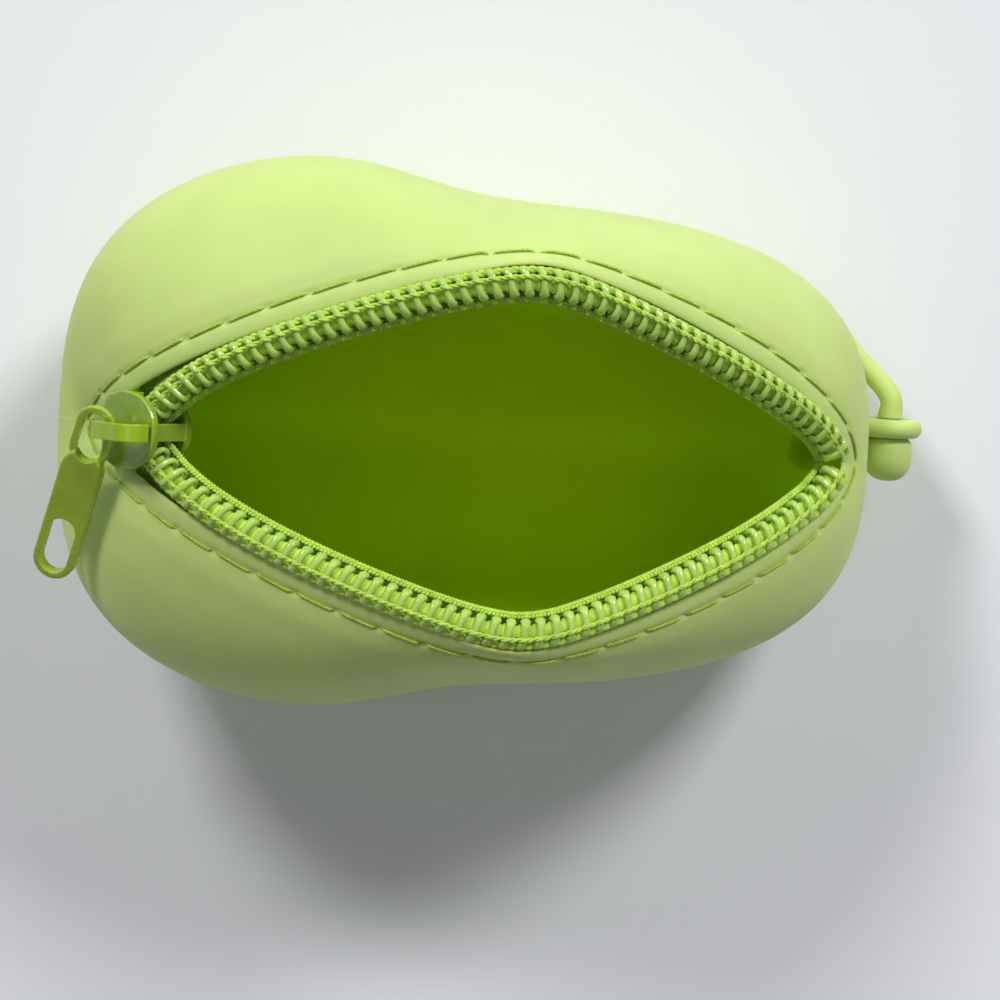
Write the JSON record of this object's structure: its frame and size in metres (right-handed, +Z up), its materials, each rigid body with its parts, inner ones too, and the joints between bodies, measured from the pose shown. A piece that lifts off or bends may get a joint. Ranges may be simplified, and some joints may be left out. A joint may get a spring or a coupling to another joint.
{
  "type": "silicone makeup bag",
  "caption": "Pear-shaped soft silicone pouch, open along its top by a coil zip with slider and pull tab, with a hanging strap at its neck.",
  "frame": {"origin": "middle of the flat base that the pouch stands on", "axes": "+Z up, +X from the fat lobe towards the neck and the strap, +Y towards the back lip"},
  "size_m": [0.0985, 0.0612, 0.0441],
  "materials": {
    "silicone": "matt lime silicone, soft and slightly translucent",
    "stitch_thread": "twisted polyester thread",
    "tape": "woven polyester tape",
    "nylon": "clear-tinted nylon, glossy",
    "core_cord": "braided filler cord",
    "slider_paint": "glossy lime paint on cast metal"
  },
  "bodies": {
    "pouch": {"body_shell": "silicone", "seam_thread": "stitch_thread", "strap_ball": "silicone", "hanging_strap": "silicone"},
    "slider": {"slider_body": "slider_paint", "slider_bail": "slider_paint"},
    "pull": {"pull_tab": "slider_paint"},
    "back_lip": {"back_zip_tape": "tape", "back_zip_coil": "nylon", "back_coil_core": "core_cord"},
    "front_lip": {"front_zip_tape": "tape", "front_zip_coil": "nylon", "front_coil_core": "core_cord"}
  },
  "joints": [
    {"name": "slider_travel", "type": "hinge", "parent": "pouch", "child": "slider", "pos_m": [-0.00061, 0, 0.00053], "axis": [0, 1, 0], "range_deg": [0, 94.5]},
    {"name": "pull_swing", "type": "hinge", "parent": "slider", "child": "pull", "pos_m": [-0.04139, 0, 0.03396], "axis": [0, 0, -1], "range_deg": [0, 144]},
    {"name": "back_lip_close", "type": "hinge", "parent": "pouch", "child": "back_lip", "pos_m": [-0.04203, 0, 0.03497], "axis": [0.9955, 0, -0.095], "range_deg": [0, 52.5], "deforming": ["back_zip_tape", "back_zip_coil", "back_coil_core"]},
    {"name": "front_lip_close", "type": "hinge", "parent": "pouch", "child": "front_lip", "pos_m": [-0.04203, 0, 0.03497], "axis": [-0.9955, 0, 0.095], "range_deg": [0, 52.5], "deforming": ["front_zip_tape", "front_zip_coil", "front_coil_core"]}
  ],
  "couplings": [
    {"joint": "back_lip_close", "follows": "slider_travel", "ratio": 0.5555},
    {"joint": "front_lip_close", "follows": "slider_travel", "ratio": 0.5555}
  ]
}
